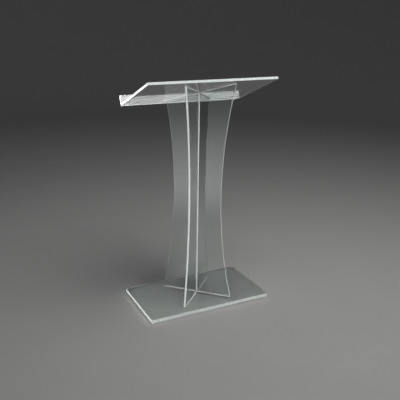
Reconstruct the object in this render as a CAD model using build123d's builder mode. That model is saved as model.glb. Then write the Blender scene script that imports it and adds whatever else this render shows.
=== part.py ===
"""Clear acrylic lectern: two waisted panels crossing in an X carry a tilted desk over a base plate.

Millimetres and degrees. X runs along the width, -Y faces the audience, +Y faces the speaker and
+Z is up. The origin is on the floor, on the axis where the two column panels cross.
"""

import os
from math import cos, radians, sin, sqrt, tan

from build123d import *

os.makedirs("parts", exist_ok=True)

# Base plate
base_length = 673.0
base_width = 381.0
base_thickness = 18.0
base_corner_radius = 10.0

# Bumper feet
foot_diameter = 19.0
foot_tip_diameter = 16.0
foot_height = 6.0
foot_edge_radius = 1.5
foot_inset = 12.0  # foot centre to the base's edges

# Column panels, measured in the plane of each panel
panel_thickness = 9.5
panel_foot_width = 380.0
panel_waist_width = 254.0
waist_height = 565.0  # above the base's top
lap_height = 578.0  # above the base's top, where the two slots meet
slot_side_clearance = 0.25
slot_end_clearance = 0.5

# Desk
desk_width = 673.0
desk_depth = 380.0  # down the slope, without the book stop
desk_thickness = 12.0
desk_tilt = 22.0
desk_axis_height = 1095.0  # underside above the floor, on the column's axis
desk_audience_reach = 196.0  # down the slope, high edge to the column's axis

# Book stop
book_stop_thickness = 12.0
book_stop_rise = 41.0  # above the reading surface

# Polished chamfer on every edge that a hand can reach
arris = 0.6

# Planes that the pieces share
base_top = foot_height + base_thickness
slope_down = (0, cos(radians(desk_tilt)), -sin(radians(desk_tilt)))
slope_up_normal = (0, sin(radians(desk_tilt)), cos(radians(desk_tilt)))
desk_origin = (0, 0, desk_axis_height)
desk_underside = Plane(origin=desk_origin, x_dir=(1, 0, 0), z_dir=slope_up_normal)
slope_axis = Axis(desk_origin, slope_down)
thickness_axis = Axis(desk_origin, slope_up_normal)


def write(part, name):
    """Label a finished piece and write it to its own STEP file."""
    part.label = name
    export_step(part, f"parts/{name}.step")


# Base plate: one thick sheet with rounded corners
with BuildPart() as base_plate:
    with BuildSketch(Plane.XY.offset(foot_height)):
        RectangleRounded(base_length, base_width, base_corner_radius)
    extrude(amount=base_thickness)
    base_rims = base_plate.edges().group_by(Axis.Z)
    chamfer(base_rims[0] + base_rims[-1], arris)
write(base_plate.part, "base_plate")

# Bumper feet: tapered, flat where they stick to the base and where they stand
foot_x = base_length / 2 - foot_inset
foot_y = base_width / 2 - foot_inset
foot_places = {
    "foot_front_left": (-foot_x, -foot_y),
    "foot_front_right": (foot_x, -foot_y),
    "foot_rear_left": (-foot_x, foot_y),
    "foot_rear_right": (foot_x, foot_y),
}
for foot_name, (x, y) in foot_places.items():
    with BuildPart() as foot:
        with BuildSketch(Plane((x, y, 0))):
            Circle(foot_tip_diameter / 2)
        with BuildSketch(Plane((x, y, foot_height))):
            Circle(foot_diameter / 2)
        loft()
        fillet(foot.edges().group_by(Axis.Z)[0], foot_edge_radius)
    write(foot.part, foot_name)

# Outline of both column panels: each side is one concave arc through foot, waist and top.
# The blank reaches past the desk's underside, which then cuts the bevelled top edge.
waist_depth = (panel_foot_width - panel_waist_width) / 2
side_radius = (waist_height**2 + waist_depth**2) / (2 * waist_depth)
blank_height = (
    desk_axis_height - base_top + panel_foot_width * tan(radians(desk_tilt)) / sqrt(2)
)
blank_top_half_width = (
    panel_waist_width / 2
    + side_radius
    - sqrt(side_radius**2 - (blank_height - waist_height) ** 2)
)
slot_width = panel_thickness + 2 * slot_side_clearance
foot_corner = (panel_foot_width / 2, 0)
waist_point = (panel_waist_width / 2, waist_height)
blank_corner = (blank_top_half_width, blank_height)
with BuildSketch() as panel_blank:
    with BuildLine():
        Line((0, 0), foot_corner)
        ThreePointArc(foot_corner, waist_point, blank_corner)
        Line(blank_corner, (0, blank_height))
        mirror(about=Plane.YZ)
    make_face()

# Panel from the rear left to the front right: its slot is open at the top
top_slot_plane = Plane(origin=(0, 0, base_top), x_dir=(1, -1, 0), z_dir=(-1, -1, 0))
with BuildPart() as column_panel_top_slot:
    with BuildSketch(top_slot_plane):
        add(panel_blank.sketch_local)
        with Locations((0, lap_height)):
            Rectangle(
                slot_width,
                blank_height,
                align=(Align.CENTER, Align.MIN),
                mode=Mode.SUBTRACT,
            )
    extrude(amount=panel_thickness / 2, both=True)
    split(bisect_by=desk_underside, keep=Keep.BOTTOM)
    chamfer(column_panel_top_slot.edges().filter_by(GeomType.CIRCLE), arris)
write(column_panel_top_slot.part, "column_panel_top_slot")

# Panel from the front left to the rear right: its slot is open at the foot
foot_slot_plane = Plane(origin=(0, 0, base_top), x_dir=(1, 1, 0), z_dir=(1, -1, 0))
with BuildPart() as column_panel_foot_slot:
    with BuildSketch(foot_slot_plane):
        add(panel_blank.sketch_local)
        Rectangle(
            slot_width,
            lap_height + slot_end_clearance,
            align=(Align.CENTER, Align.MIN),
            mode=Mode.SUBTRACT,
        )
    extrude(amount=panel_thickness / 2, both=True)
    split(bisect_by=desk_underside, keep=Keep.BOTTOM)
    chamfer(column_panel_foot_slot.edges().filter_by(GeomType.CIRCLE), arris)
write(column_panel_foot_slot.part, "column_panel_foot_slot")

# Desk: a flat sheet on the panels' bevelled tops; its low edge stays square for the book stop
desk_low_edge = desk_depth - desk_audience_reach
with BuildPart() as desk_plate:
    with BuildSketch(desk_underside):
        with Locations((0, desk_low_edge)):
            Rectangle(desk_width, desk_depth, align=(Align.CENTER, Align.MAX))
    extrude(amount=desk_thickness)
    desk_free_edges = desk_plate.edges() - desk_plate.edges().group_by(slope_axis)[-1]
    chamfer(desk_free_edges, arris)
write(desk_plate.part, "desk_plate")

# Book stop: a strip on the desk's low edge, from the underside to above the reading surface
with BuildPart() as book_stop:
    with BuildSketch(desk_underside):
        with Locations((0, desk_low_edge)):
            Rectangle(desk_width, book_stop_thickness, align=(Align.CENTER, Align.MIN))
    extrude(amount=desk_thickness + book_stop_rise)
    glued_face = book_stop.faces().sort_by(slope_axis)[0]
    glued_edge = glued_face.edges().group_by(thickness_axis)[0]
    chamfer(book_stop.edges() - glued_edge, arris)
write(book_stop.part, "book_stop")
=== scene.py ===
"""Looks of the clear acrylic presentation lectern, in metres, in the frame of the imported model."""

from math import cos, pi, radians, sin, tan

import bmesh
import bpy
from mathutils import Euler, Matrix, Vector


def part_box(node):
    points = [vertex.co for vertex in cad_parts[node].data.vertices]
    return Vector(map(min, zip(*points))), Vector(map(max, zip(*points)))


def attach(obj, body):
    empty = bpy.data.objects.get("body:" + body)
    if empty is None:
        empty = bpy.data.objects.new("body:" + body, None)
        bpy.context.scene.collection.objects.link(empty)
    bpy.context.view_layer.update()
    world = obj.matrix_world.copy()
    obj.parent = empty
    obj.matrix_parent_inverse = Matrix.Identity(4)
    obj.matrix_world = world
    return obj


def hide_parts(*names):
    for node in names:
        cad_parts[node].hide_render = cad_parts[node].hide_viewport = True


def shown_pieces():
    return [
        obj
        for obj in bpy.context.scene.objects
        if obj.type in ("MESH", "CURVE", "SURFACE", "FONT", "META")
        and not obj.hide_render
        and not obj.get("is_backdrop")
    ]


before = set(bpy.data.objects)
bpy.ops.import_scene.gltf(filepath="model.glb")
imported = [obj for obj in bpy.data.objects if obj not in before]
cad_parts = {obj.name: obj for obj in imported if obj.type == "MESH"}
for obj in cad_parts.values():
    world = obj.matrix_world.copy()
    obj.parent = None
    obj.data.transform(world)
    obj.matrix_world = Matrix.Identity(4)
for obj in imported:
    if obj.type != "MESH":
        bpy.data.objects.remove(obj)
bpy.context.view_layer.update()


# ---------------------------------------------------------------------------------------------
# Base plate: one 18 mm sheet of cast acrylic. It is sawn, its edges are machined and polished
# with a diamond cutter, and every rim carries a fine chamfer, so a hand meets no sharp edge.

cement_gap = 0.00015  # solvent cement between two sheets, left open so that the joint shows
rim_chamfer = 0.0006
base_corner_radius = 0.010
one_way = 0.99  # least cosine between two directions that count as the same
square_on = 0.01  # greatest cosine between two directions that count as square to each other


def linear(sheet_colour):
    """An sRGB hex colour as linear red, green, blue and alpha."""
    shares = [int(sheet_colour[start : start + 2], 16) / 255 for start in (1, 3, 5)]
    return [
        share / 12.92 if share <= 0.04045 else ((share + 0.055) / 1.055) ** 2.4
        for share in shares
    ] + [1]


def add_node(material, kind, settings={}, values={}, links={}):
    """A new node: settings by attribute, values by input, links as input: (node, output)."""
    node = material.node_tree.nodes.new("ShaderNode" + kind)
    for name, value in settings.items():
        setattr(node, name, value)
    for socket, value in values.items():
        node.inputs[socket].default_value = value
    for socket, (source, output) in links.items():
        material.node_tree.links.new(source.outputs[output], node.inputs[socket])
    return node


def new_material(name):
    """A new empty material, and the node that gives its textures their place on the object."""
    material = bpy.data.materials.new(name)
    material.use_nodes = True
    material.node_tree.nodes.clear()
    return material, add_node(material, "TexCoord")


acrylic_depth = {"Color": linear("#e9f8f0"), "Density": 0.7}  # a faint green, seen along a sheet

# Cast acrylic, polished face: cell cast against glass, so it is clear and glossy. A wiped sheet
# keeps faint cloudy patches the size of a hand, and hairline scratches, which break the
# reflections a little.
polished_face, coordinates = new_material("cast_acrylic_polished_face")
wiping = add_node(
    polished_face,
    "TexNoise",
    {},
    {"Scale": 11, "Detail": 4, "Roughness": 0.6},
    {"Vector": (coordinates, "Object")},
)
wiped_haze = add_node(
    polished_face,
    "MapRange",
    {},
    {"From Min": 0.42, "From Max": 0.75, "To Min": 0.0, "To Max": 0.055},
    {"Value": (wiping, "Fac")},
)
# Hairline scratches are about 0.05 mm wide: drawn 1 mm wide and 60 mm long so that they show
scratch_way = add_node(
    polished_face,
    "Mapping",
    {},
    {"Rotation": (0.5, 0.9, 0.35), "Scale": (1000, 45, 16)},
    {"Vector": (coordinates, "Object")},
)
scratching = add_node(
    polished_face, "TexNoise", {}, {"Scale": 1, "Detail": 1}, {"Vector": (scratch_way, "Vector")}
)
scratches = add_node(
    polished_face,
    "MapRange",
    {},
    {"From Min": 0.66, "From Max": 0.74, "To Min": 0.0, "To Max": 0.12},
    {"Value": (scratching, "Fac")},
)
face_roughness = add_node(
    polished_face,
    "Math",
    {"operation": "ADD", "use_clamp": True},
    {},
    {0: (wiped_haze, "Result"), 1: (scratches, "Result")},
)
# The casting cell leaves a swell of a few hundredths of a millimetre over about 60 mm
swell = add_node(
    polished_face, "TexNoise", {}, {"Scale": 16, "Detail": 1}, {"Vector": (coordinates, "Object")}
)
face_relief = add_node(
    polished_face, "Bump", {}, {"Strength": 1, "Distance": 0.00002}, {"Height": (swell, "Fac")}
)
face_surface = add_node(
    polished_face,
    "BsdfPrincipled",
    {},
    {
        "Base Color": linear("#fbfefd"),
        "IOR": 1.49,
        "Transmission Weight": 1.0,
    },
    {"Roughness": (face_roughness, "Value"), "Normal": (face_relief, "Normal")},
)
face_depth = add_node(polished_face, "VolumeAbsorption", {}, acrylic_depth)
add_node(
    polished_face,
    "OutputMaterial",
    {},
    {},
    {"Surface": (face_surface, "BSDF"), "Volume": (face_depth, "Volume")},
)

# Cast acrylic, diamond polished edge: the cutter leaves a fine ripple and a slight haze, so the
# edge gathers the light that runs inside the sheet and glows where the faces stay clear.
polished_edge, coordinates = new_material("cast_acrylic_diamond_polished_edge")
# Cutter ripple is about 0.3 mm apart: drawn 4 mm apart so that it shows
ripple = add_node(
    polished_edge, "TexNoise", {}, {"Scale": 250, "Detail": 2}, {"Vector": (coordinates, "Object")}
)
edge_haze = add_node(
    polished_edge,
    "MapRange",
    {},
    {"From Min": 0.35, "From Max": 0.7, "To Min": 0.10, "To Max": 0.30},
    {"Value": (ripple, "Fac")},
)
edge_relief = add_node(
    polished_edge, "Bump", {}, {"Strength": 1, "Distance": 0.00004}, {"Height": (ripple, "Fac")}
)
edge_surface = add_node(
    polished_edge,
    "BsdfPrincipled",
    {},
    {
        "Base Color": linear("#f8fbfa"),
        "IOR": 1.49,
        "Transmission Weight": 0.66,
    },
    {"Roughness": (edge_haze, "Result"), "Normal": (edge_relief, "Normal")},
)
edge_depth = add_node(polished_edge, "VolumeAbsorption", {}, acrylic_depth)
add_node(
    polished_edge,
    "OutputMaterial",
    {},
    {},
    {"Surface": (edge_surface, "BSDF"), "Volume": (edge_depth, "Volume")},
)


def start_edit():
    """Edit mode on the one active piece, with everything in it deselected."""
    bpy.ops.object.mode_set(mode="EDIT")
    bpy.ops.mesh.select_all(action="DESELECT")


def pick(kind, wanted):
    """In edit mode, selects only the faces or edges for which wanted(it) is true."""
    bpy.ops.mesh.select_mode(type=kind)
    bpy.ops.mesh.select_all(action="DESELECT")
    mesh = bmesh.from_edit_mesh(bpy.context.object.data)
    for item in mesh.faces if kind == "FACE" else mesh.edges:
        if wanted(item):
            item.select_set(True)
    bmesh.update_edit_mesh(bpy.context.object.data)


def sheet_block(low, high):
    """A new block of sheet between two corners, alone selected, with its place in its mesh."""
    bpy.ops.object.select_all(action="DESELECT")
    low, high = Vector(low), Vector(high)
    bpy.ops.mesh.primitive_cube_add(size=1, location=(low + high) / 2, scale=high - low)
    bpy.ops.object.transform_apply(location=True, rotation=True, scale=True)
    return bpy.context.object


def between(edge, first, second):
    """True for an edge whose two faces meet first(normal) and second(normal), either way round."""
    if len(edge.link_faces) != 2:
        return False
    one, other = (face.normal for face in edge.link_faces)
    return (first(one) and second(other)) or (first(other) and second(one))


def finish_sheet(sheet, name, materials, slot_of, cad_node):
    """Leaves edit mode, gives each face its material, and puts the piece in its CAD node's place."""
    bpy.ops.object.mode_set(mode="OBJECT")
    for material in materials:
        sheet.data.materials.append(material)
    for face in sheet.data.polygons:
        face.material_index = slot_of(face)
    bpy.ops.object.shade_smooth_by_angle(angle=radians(12))
    sheet.name = sheet.data.name = name
    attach(sheet, "root")
    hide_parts(cad_node)


def level(normal):
    """True for a face that looks straight up or down."""
    return abs(normal.z) > one_way


def upright(normal):
    """True for a face that stands on its edge."""
    return abs(normal.z) < square_on


base_low, base_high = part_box("base_plate")
base = sheet_block(base_low, base_high)
start_edit()
pick("EDGE", lambda edge: between(edge, upright, upright))
bpy.ops.mesh.bevel(offset=base_corner_radius, segments=16, affect="EDGES")
pick("EDGE", lambda edge: between(edge, level, upright))
bpy.ops.mesh.bevel(offset=rim_chamfer, segments=1, affect="EDGES")
finish_sheet(
    base,
    "base_sheet",
    [polished_face, polished_edge],
    lambda face: 0 if level(face.normal) else 1,
    "base_plate",
)


# ---------------------------------------------------------------------------------------------
# Bumper feet: clear polyurethane, cast in a tapered button with a rounded tip. Each one sticks
# to the underside of the base with a thin disc of clear adhesive.

foot_edge_radius = 0.0015
adhesive_thickness = 0.0004
adhesive_inset = 0.0008
foot_taper = 0.0015

# Clear polyurethane, cast and soft: a satin skin that clouds what is behind it. Its grain is
# under 0.1 mm: drawn 1.4 mm wide so that it shows
soft_bumper, coordinates = new_material("clear_polyurethane_cast_satin")
skin = add_node(
    soft_bumper, "TexNoise", {}, {"Scale": 700, "Detail": 2}, {"Vector": (coordinates, "Object")}
)
skin_haze = add_node(
    soft_bumper, "MapRange", {}, {"To Min": 0.18, "To Max": 0.42}, {"Value": (skin, "Fac")}
)
skin_relief = add_node(
    soft_bumper, "Bump", {}, {"Strength": 1, "Distance": 0.00005}, {"Height": (skin, "Fac")}
)
bumper_surface = add_node(
    soft_bumper,
    "BsdfPrincipled",
    {},
    {
        "Base Color": linear("#f6f8f4"),
        "IOR": 1.48,
        "Transmission Weight": 0.5,
    },
    {"Roughness": (skin_haze, "Result"), "Normal": (skin_relief, "Normal")},
)
add_node(soft_bumper, "OutputMaterial", {}, {}, {"Surface": (bumper_surface, "BSDF")})

for foot_name in ("foot_front_left", "foot_front_right", "foot_rear_left", "foot_rear_right"):
    foot_low, foot_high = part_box(foot_name)
    foot_radius = (foot_high.x - foot_low.x) / 2
    foot_height = foot_high.z - foot_low.z - adhesive_thickness - cement_gap
    foot_middle = (foot_low + foot_high) / 2
    bpy.ops.object.select_all(action="DESELECT")
    bpy.ops.mesh.primitive_cone_add(
        vertices=64,
        radius1=foot_radius - foot_taper,
        radius2=foot_radius,
        depth=foot_height,
        location=(foot_middle.x, foot_middle.y, foot_low.z + foot_height / 2),
    )
    foot = bpy.context.object
    bpy.ops.object.transform_apply(location=True, rotation=True, scale=True)
    start_edit()
    pick("FACE", lambda face: face.normal.z < -one_way)
    bpy.ops.mesh.region_to_loop()
    bpy.ops.mesh.bevel(offset=foot_edge_radius, segments=6, affect="EDGES")
    pick("FACE", lambda face: face.normal.z > one_way)
    bpy.ops.mesh.inset(thickness=adhesive_inset)
    bpy.ops.mesh.extrude_region_move(TRANSFORM_OT_translate={"value": (0, 0, adhesive_thickness)})
    bpy.ops.object.mode_set(mode="OBJECT")
    foot.data.materials.append(soft_bumper)
    bpy.ops.object.shade_smooth_by_angle(angle=radians(25))
    foot.name = foot.data.name = foot_name.replace("foot", "bumper")
    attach(foot, "root")
    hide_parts(foot_name)


# ---------------------------------------------------------------------------------------------
# Column panels: two 9.5 mm sheets of cast acrylic, each cut with two long concave sides, and half
# lapped into an X by a slot in each. They are cemented on the base and carry the desk on their
# bevelled top edges.

base_top = base_high.z
panel_thickness = 0.0095
panel_foot_half = 0.190
panel_waist_half = 0.127
waist_above_base = 0.565
blank_half = 0.26  # of the sheet that a panel is cut from
blank_top = 1.3
above_blank = 1.4
cutter_reach = 0.05  # past both faces of the sheet
outer_reach = 0.1  # an edge this far from the axis is on a concave side
about_one_way = 0.9  # least cosine between a direction and a curved or tilted face that follows it
slot_side_gap = 0.00025
slot_end_gap = 0.0005
lap_height = base_top + 0.578
desk_axis_height = 1.095
desk_tilt = radians(22)
slope_up_normal = Vector((0, sin(desk_tilt), cos(desk_tilt)))
waist_depth = panel_foot_half - panel_waist_half
side_radius = (waist_above_base**2 + waist_depth**2) / (2 * waist_depth)
slot_half = panel_thickness / 2 + slot_side_gap

# Solvent-cemented joint: the cement bites into both sheets and leaves tiny bubbles and a haze,
# so the joint shows as a thin bright line.
cemented_joint, coordinates = new_material("cast_acrylic_solvent_cemented_joint")
# Bubbles are 0.1 to 0.4 mm across: drawn about 2.4 mm apart so that they show
bubbles = add_node(
    cemented_joint, "TexVoronoi", {}, {"Scale": 420}, {"Vector": (coordinates, "Object")}
)
bubble_haze = add_node(
    cemented_joint,
    "MapRange",
    {},
    {"From Min": 0.15, "From Max": 0.4, "To Min": 0.6, "To Max": 0.22},
    {"Value": (bubbles, "Distance")},
)
joint_surface = add_node(
    cemented_joint,
    "BsdfPrincipled",
    {},
    {
        "Base Color": linear("#fcfdfd"),
        "IOR": 1.49,
        "Transmission Weight": 0.5,
    },
    {"Roughness": (bubble_haze, "Result")},
)
joint_depth = add_node(cemented_joint, "VolumeAbsorption", {}, acrylic_depth)
add_node(
    cemented_joint,
    "OutputMaterial",
    {},
    {},
    {"Surface": (joint_surface, "BSDF"), "Volume": (joint_depth, "Volume")},
)


def saw_away(sheet, cutter):
    """Takes the cutter's shape out of the sheet, and removes the cutter."""
    cut = sheet.modifiers.new("cut", "BOOLEAN")
    cut.operation = "DIFFERENCE"
    cut.solver = "EXACT"
    cut.object = cutter
    bpy.ops.object.select_all(action="DESELECT")
    sheet.select_set(True)
    bpy.context.view_layer.objects.active = sheet
    bpy.ops.object.modifier_apply(modifier=cut.name)
    bpy.data.objects.remove(cutter)


for panel_name, turn, slot_from, slot_to in (
    ("column_panel_top_slot", -pi / 4, lap_height, above_blank),
    ("column_panel_foot_slot", pi / 4, 0, lap_height + slot_end_gap),
):
    panel = sheet_block(
        (-blank_half, -panel_thickness / 2, base_top + cement_gap),
        (blank_half, panel_thickness / 2, blank_top),
    )
    for side in (-1, 1):
        bpy.ops.object.select_all(action="DESELECT")
        bpy.ops.mesh.primitive_cylinder_add(
            vertices=1024,
            radius=side_radius,
            depth=2 * cutter_reach,
            location=(side * (panel_waist_half + side_radius), 0, base_top + waist_above_base),
            rotation=(pi / 2, 0, 0),
        )
        saw_away(panel, bpy.context.object)
    slot_low = (-slot_half, -cutter_reach, slot_from)
    slot_high = (slot_half, cutter_reach, slot_to)
    saw_away(panel, sheet_block(slot_low, slot_high))
    panel.rotation_euler = (0, 0, turn)
    bpy.ops.object.transform_apply(location=True, rotation=True, scale=True)
    across = Vector((cos(turn), sin(turn), 0))
    panel_normal = Vector((-sin(turn), cos(turn), 0))
    start_edit()
    bpy.ops.mesh.select_all(action="SELECT")
    bpy.ops.mesh.bisect(
        plane_co=Vector((0, 0, desk_axis_height)) - slope_up_normal * cement_gap,
        plane_no=slope_up_normal,
        clear_outer=True,
        use_fill=True,
    )
    pick(
        "EDGE",
        lambda edge: between(
            edge,
            lambda normal: abs(normal @ panel_normal) > one_way,
            lambda normal: abs(normal @ across) > about_one_way,
        )
        and abs((edge.verts[0].co + edge.verts[1].co) / 2 @ across) > outer_reach,
    )
    bpy.ops.mesh.bevel(offset=rim_chamfer, segments=1, affect="EDGES", clamp_overlap=False)
    finish_sheet(
        panel,
        panel_name.replace("panel", "sheet"),
        [polished_face, polished_edge, cemented_joint],
        lambda face: 0
        if abs(face.normal @ panel_normal) > one_way
        else 2
        if face.normal.z < -one_way or face.normal @ slope_up_normal > one_way
        else 1,
        panel_name,
    )


# ---------------------------------------------------------------------------------------------
# Desk: a flat 12 mm sheet of cast acrylic, its edges polished and chamfered like the base's. It is
# cemented on the panels' bevelled tops, and slopes 22 degrees down to the speaker.

desk_width = 0.673
desk_low_edge = 0.184
desk_high_edge = -0.196
desk_thickness = 0.012


def lay_on_slope(sheet):
    """Turns a sheet that was made level into the desk's slope, at the desk's place."""
    sheet.rotation_euler = (-desk_tilt, 0, 0)
    sheet.location = (0, 0, desk_axis_height)
    bpy.ops.object.transform_apply(location=True, rotation=True, scale=True)


desk = sheet_block(
    (-desk_width / 2, desk_high_edge, 0),
    (desk_width / 2, desk_low_edge - cement_gap, desk_thickness),
)
start_edit()
pick("EDGE", lambda edge: not any(face.normal.y > one_way for face in edge.link_faces))
bpy.ops.mesh.bevel(offset=rim_chamfer, segments=1, affect="EDGES")
bpy.ops.object.mode_set(mode="OBJECT")
lay_on_slope(desk)
slope_down = Vector((0, cos(desk_tilt), -sin(desk_tilt)))
finish_sheet(
    desk,
    "desk_sheet",
    [polished_face, polished_edge, cemented_joint],
    lambda face: 0
    if abs(face.normal @ slope_up_normal) > one_way
    else 2
    if face.normal @ slope_down > one_way
    else 1,
    "desk_plate",
)


# ---------------------------------------------------------------------------------------------
# Book stop: a 12 mm strip of cast acrylic cemented against the desk's low edge. It stands 41 mm
# above the reading surface, so that papers don't slide off.

stop_thickness = 0.012
stop_rise = 0.041

book_stop = sheet_block(
    (-desk_width / 2, desk_low_edge, 0),
    (desk_width / 2, desk_low_edge + stop_thickness, desk_thickness + stop_rise),
)
start_edit()
pick(
    "EDGE",
    lambda edge: not between(
        edge, lambda normal: normal.y < -one_way, lambda normal: normal.z < -one_way
    ),
)
bpy.ops.mesh.bevel(offset=rim_chamfer, segments=1, affect="EDGES")
bpy.ops.object.mode_set(mode="OBJECT")
lay_on_slope(book_stop)
finish_sheet(
    book_stop,
    "book_stop_strip",
    [polished_face, polished_edge],
    lambda face: 0 if abs(face.normal @ slope_down) > one_way else 1,
    "book_stop",
)


# ---------------------------------------------------------------------------------------------
# Cement beads: solvent cement is run into each joint with a needle, and a little of it stays
# outside as a bead that has sagged into a hollow corner and dried glossy and a little cloudy.

bead_leg = 0.0016
bead_clearance = 0.00004  # keeps the bead's glass clear of the sheets' glass
bead_start = 0.0068  # from the column's axis, past the bead of the crossing panel
bead_end = 0.002  # from the panel's side
bead_hollow = 0.85  # of the leg, cut back in a curve
bead_apart = 2 * bead_leg  # where one bead stops short of another, or of a sheet's end

# Set solvent cement: dissolved acrylic, glossy but clouded by pinhole bubbles, so that each joint
# shows as a pale line. Pinholes are under 0.2 mm across: drawn about 1.7 mm apart
set_cement, coordinates = new_material("acrylic_solvent_cement_set")
pinholes = add_node(
    set_cement, "TexVoronoi", {}, {"Scale": 600}, {"Vector": (coordinates, "Object")}
)
pinhole_haze = add_node(
    set_cement,
    "MapRange",
    {},
    {"From Min": 0.1, "From Max": 0.35, "To Min": 0.5, "To Max": 0.08},
    {"Value": (pinholes, "Distance")},
)
cement_surface = add_node(
    set_cement,
    "BsdfPrincipled",
    {},
    {
        "Base Color": linear("#fdfefe"),
        "IOR": 1.48,
        "Transmission Weight": 0.2,
    },
    {"Roughness": (pinhole_haze, "Result")},
)
add_node(set_cement, "OutputMaterial", {}, {}, {"Surface": (cement_surface, "BSDF")})


def bead_along(start, end, first_leg, second_leg):
    """A bead with a hollow front, from start to end, in the corner whose sides are the two legs."""
    bpy.ops.object.select_all(action="DESELECT")
    bpy.ops.mesh.primitive_cube_add(size=1)
    bead = bpy.context.object
    start, end = Vector(start), Vector(end)
    way = (end - start).normalized()
    sides = Matrix((first_leg, second_leg, way)).transposed().to_4x4()
    place = start + (first_leg + second_leg) * (bead_clearance + bead_leg / 2) + (end - start) / 2
    lengths = Matrix.Diagonal((bead_leg, bead_leg, (end - start).length, 1))
    bead.data.transform(Matrix.Translation(place) @ sides @ lengths)
    start_edit()
    pick(
        "EDGE",
        lambda edge: between(
            edge,
            lambda normal: abs(normal @ first_leg) > about_one_way,
            lambda normal: abs(normal @ second_leg) > about_one_way,
        )
        and ((edge.verts[0].co + edge.verts[1].co) / 2 - place) @ (first_leg + second_leg) > 0,
    )
    bpy.ops.mesh.bevel(offset=bead_leg * bead_hollow, segments=4, profile=0.16, affect="EDGES")
    bpy.ops.mesh.select_all(action="SELECT")
    bpy.ops.mesh.normals_make_consistent(inside=False)
    bpy.ops.object.mode_set(mode="OBJECT")
    return bead


bead_runs = []
for turn in (-pi / 4, pi / 4):
    across = Vector((cos(turn), sin(turn), 0))
    for side in (-1, 1):
        away = side * Vector((-sin(turn), cos(turn), 0))
        face_middle = away * panel_thickness / 2
        desk_point = face_middle.copy()
        desk_point.z = desk_axis_height - face_middle.y * tan(desk_tilt)
        up_joint = away.cross(slope_up_normal).normalized()
        up_joint *= 1 if up_joint @ across > 0 else -1
        along_desk = slope_up_normal.cross(up_joint)
        along_desk *= 1 if along_desk @ away > 0 else -1
        down_panel = away.cross(up_joint)
        down_panel *= 1 if down_panel.z < 0 else -1
        for arm in (-1, 1):
            foot_line = [
                face_middle + arm * across * reach + Vector((0, 0, base_top))
                for reach in (bead_start, panel_foot_half - bead_end)
            ]
            bead_runs.append((*foot_line, away, Vector((0, 0, 1))))
            desk_line = [
                desk_point + arm * up_joint * reach / (up_joint @ across)
                for reach in (bead_start, panel_foot_half - bead_end)
            ]
            bead_runs.append((*desk_line, along_desk, down_panel))
            # The panels share the four corners of the lap, so one panel's turn gives them all
            if turn > 0:
                lap_side = arm * across
                lap_corner = face_middle + lap_side * panel_thickness / 2
                lap_top = desk_axis_height - lap_corner.y * tan(desk_tilt) - bead_apart
                lap_line = [
                    lap_corner + Vector((0, 0, height)) for height in (base_top + bead_apart, lap_top)
                ]
                bead_runs.append((*lap_line, away, lap_side))
stop_corner = Vector((0, 0, desk_axis_height)) + slope_down * desk_low_edge
stop_corner += slope_up_normal * desk_thickness
stop_end = Vector((desk_width / 2 - bead_apart, 0, 0))
bead_runs.append((stop_corner - stop_end, stop_corner + stop_end, -slope_down, slope_up_normal))

beads = [bead_along(*run) for run in bead_runs]
bpy.ops.object.select_all(action="DESELECT")
for bead in beads:
    bead.select_set(True)
bpy.context.view_layer.objects.active = beads[0]
bpy.ops.object.join()
cement = bpy.context.object
cement.data.materials.append(set_cement)
bpy.ops.object.shade_smooth_by_angle(angle=radians(30))
cement.name = cement.data.name = "cement_beads"
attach(cement, "root")


# ---------------------------------------------------------------------------------------------
# Studio: a pale painted floor that curves up into a round wall far away, soft boxes and the
# camera. The boxes that make the edges glow light the lectern alone, so the floor stays plain.

floor_clearance = 0.0003  # keeps the floor clear of the feet's glass
floor_radius = 8
wall_height = 5
cove_radius = 2.5

bpy.ops.object.select_all(action="DESELECT")
bpy.ops.mesh.primitive_cylinder_add(
    vertices=128,
    radius=floor_radius,
    depth=wall_height,
    location=(0, 0, wall_height / 2 - floor_clearance),
)
bpy.ops.object.transform_apply(location=True, rotation=True, scale=True)
floor = bpy.context.object
start_edit()
pick("FACE", lambda face: face.normal.z > one_way)
bpy.ops.mesh.delete(type="FACE")
pick("EDGE", lambda edge: between(edge, level, upright))
bpy.ops.mesh.bevel(offset=cove_radius, segments=16, affect="EDGES")
bpy.ops.object.mode_set(mode="OBJECT")
bpy.ops.object.shade_smooth_by_angle(angle=radians(20))
floor.name = "studio_floor"
# Matt floor paint, rolled on: no shine, and a tone that wanders a little over 300 mm
pale_floor, coordinates = new_material("painted_floor_matt")
floor_tone = add_node(
    pale_floor, "TexNoise", {}, {"Scale": 3, "Detail": 5}, {"Vector": (coordinates, "Object")}
)
floor_colour = add_node(
    pale_floor,
    "MixRGB",
    {},
    {"Color1": linear("#c4c4c2"), "Color2": linear("#cbcbc9")},
    {"Fac": (floor_tone, "Fac")},
)
floor_surface = add_node(
    pale_floor,
    "BsdfPrincipled",
    {},
    {"Roughness": 0.9, "Specular IOR Level": 0.0},
    {"Base Color": (floor_colour, "Color")},
)
add_node(pale_floor, "OutputMaterial", {}, {}, {"Surface": (floor_surface, "BSDF")})
floor.data.materials.append(pale_floor)
floor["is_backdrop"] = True


def soft_box(name, place, aim, size, watts, lit_pieces=(), mirrored=True, seen_through=True):
    """A soft light at place, facing aim: it may light certain pieces alone, and be kept out of
    reflections or out of what shows through the clear sheets."""
    light = bpy.data.lights.new(name, "AREA")
    light.shape = "RECTANGLE"
    (light.size, light.size_y), light.energy = size, watts
    box = bpy.data.objects.new(name, light)
    bpy.context.scene.collection.objects.link(box)
    box.location = place
    box.rotation_euler = (Vector(aim) - Vector(place)).to_track_quat("-Z", "Y").to_euler()
    box.visible_camera = False
    box.visible_glossy = mirrored
    box.visible_transmission = seen_through
    if lit_pieces:
        box.light_linking.receiver_collection = bpy.data.collections.new(name + "_lights")
        for piece in lit_pieces:
            box.light_linking.receiver_collection.objects.link(piece)


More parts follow.
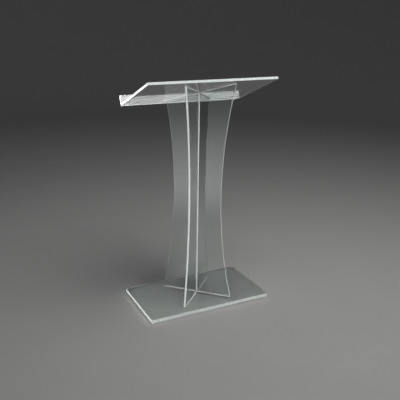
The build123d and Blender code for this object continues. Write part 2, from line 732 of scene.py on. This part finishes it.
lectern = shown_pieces()
desk_pieces = [desk, book_stop]
base_pieces = [base, *[piece for piece in lectern if piece.name.startswith("bumper")]]
# Boxes marked False, False at the end leave no bright rectangles on or behind the clear sheets
for name, place, aim, size, watts, lit_pieces, mirrored, seen_through in (
    ("box_room", (0.6, -1.2, 3.4), (0, 0, 0), (2.4, 2.4), 60, (), False, True),
    ("box_front_right", (0.95, -1.8, 2.35), (0, 0, 1.0), (1.5, 1.2), 55, lectern, False, False),
    ("box_front_low", (-0.2, -2.6, 0.35), (0, 0, 0.2), (1.4, 0.5), 32, lectern, False, False),
    ("box_left_low", (-2.2, -0.3, 0.75), (0, 0, 0.4), (0.9, 1.0), 44, lectern, True, False),
    ("box_right_low", (2.3, -0.9, 0.8), (0, 0, 0.4), (0.8, 1.2), 14, lectern, True, False),
    ("box_behind_left", (-0.9, 2.3, 0.85), (0, 0, 0.7), (0.8, 0.9), 14, desk_pieces, True, False),
    ("box_on_stop", (1.05, -1.75, 2.38), (0, 0.2, 1.04), (2.1, 1.1), 62, [book_stop], True, True),
    ("strip_left_of_base", (-0.75, 0, 0.07), (-0.33, 0, 0.01), (0.5, 0.08), 2, base_pieces, True, False),
):
    soft_box(name, place, aim, size, watts, lit_pieces, mirrored, seen_through)

# A card low on the left, which only reflections see: its soft gradient fills the column's face.
# It glows most 0.3 m above the floor, and fades to nothing at the floor and 1.24 m above it.
card_place = (-0.95, -0.48, 0.6)
card_size = (1.3, 1.6, 1)
card_facing = Vector((0.89, 0.455, 0))
bpy.ops.object.select_all(action="DESELECT")
bpy.ops.mesh.primitive_plane_add(size=1, location=card_place)
card = bpy.context.object
card.name = "reflection_card"
card.scale = card_size
card.rotation_euler = card_facing.to_track_quat("Z", "Y").to_euler()
card_glow, coordinates = new_material("reflection_card_glow")
card_axes = add_node(card_glow, "SeparateXYZ", {}, {}, {"Vector": (coordinates, "Object")})
card_fall = add_node(
    card_glow,
    "MapRange",
    {"interpolation_type": "SMOOTHERSTEP"},
    {"From Min": -0.22, "From Max": 0.4, "To Min": 3.3, "To Max": 0.0},
    {"Value": (card_axes, "Y")},
)
card_rise = add_node(
    card_glow,
    "MapRange",
    {"interpolation_type": "SMOOTHSTEP"},
    {"From Min": -0.38, "From Max": -0.17},
    {"Value": (card_axes, "Y")},
)
card_strength = add_node(
    card_glow,
    "Math",
    {"operation": "MULTIPLY"},
    {},
    {0: (card_fall, "Result"), 1: (card_rise, "Result")},
)
card_light = add_node(
    card_glow, "Emission", {}, {"Color": linear("#eef2f4")}, {"Strength": (card_strength, "Value")}
)
add_node(card_glow, "OutputMaterial", {}, {}, {"Surface": (card_light, "Emission")})
card.data.materials.append(card_glow)
card.visible_camera = card.visible_diffuse = False
card.visible_transmission = card.visible_shadow = False
card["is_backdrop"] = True

world = bpy.data.worlds.new("studio_dim")
bpy.context.scene.world = world
world.use_nodes = True
world.node_tree.nodes["Background"].inputs["Color"].default_value = linear("#2a2b2e")
world.node_tree.nodes["Background"].inputs["Strength"].default_value = 0.8

image_width = 400
focal_length = 577.31  # in the unit of the image's width
camera_data = bpy.data.cameras.new("camera")
camera_data.sensor_width = 36
camera_data.lens = focal_length / image_width * camera_data.sensor_width
camera = bpy.data.objects.new("camera", camera_data)
bpy.context.scene.collection.objects.link(camera)
camera_place = Vector((-1.27005, -2.52454, 1.49463))
camera_dip, camera_turn, camera_roll = radians(18.571), radians(26.981), radians(0.872)
turned = Euler((pi / 2 - camera_dip, 0, -camera_turn)).to_matrix()
rolled = turned @ Matrix.Rotation(camera_roll, 3, "Z")
camera.matrix_world = Matrix.Translation(camera_place) @ rolled.to_4x4()
bpy.context.scene.camera = camera
bpy.context.scene.view_settings.view_transform = "Standard"
bpy.context.scene.cycles.max_bounces = 24
bpy.context.scene.cycles.transmission_bounces = 24
bpy.context.scene.cycles.glossy_bounces = 16
